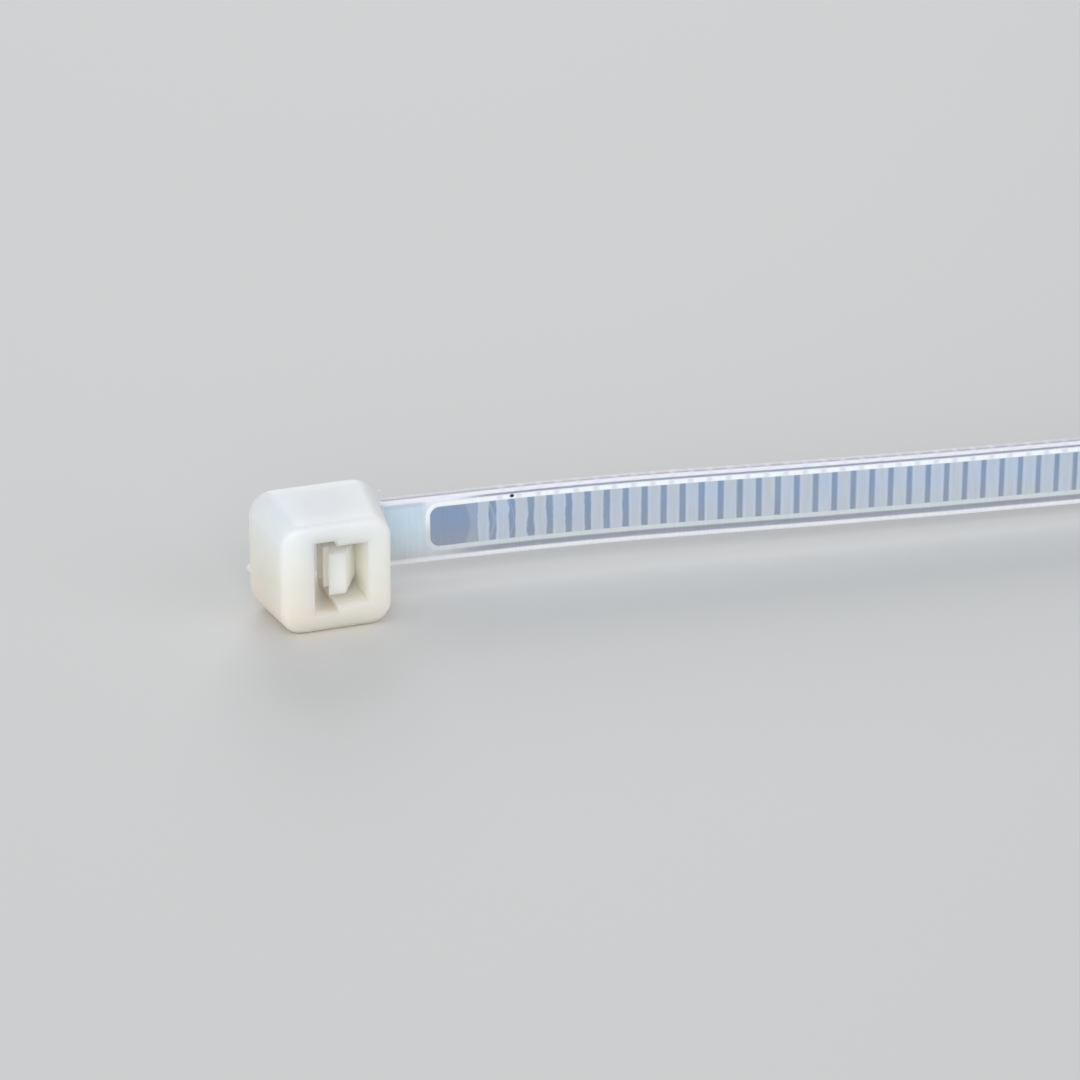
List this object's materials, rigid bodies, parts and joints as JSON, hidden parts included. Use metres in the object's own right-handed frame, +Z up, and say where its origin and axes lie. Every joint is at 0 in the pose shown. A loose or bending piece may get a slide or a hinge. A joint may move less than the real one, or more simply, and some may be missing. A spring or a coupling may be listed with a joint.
{
  "type": "cable tie",
  "caption": "One-piece nylon cable tie standing on its edge: drafted head with strap slot and locking pawl, toothed strap and tapered tail.",
  "frame": {"origin": "centre of the head's resting side face, on the floor", "axes": "+X from the head to the tail, +Z up across the strap's width, -Y out of the slot's exit face"},
  "size_m": [0.1999, 0.0104, 0.0087],
  "materials": {
    "nylon": "natural nylon 6/6 as moulded: milky, slightly translucent, satin gloss"
  },
  "bodies": {
    "root": {"cable_tie": "nylon"}
  },
  "joints": []
}
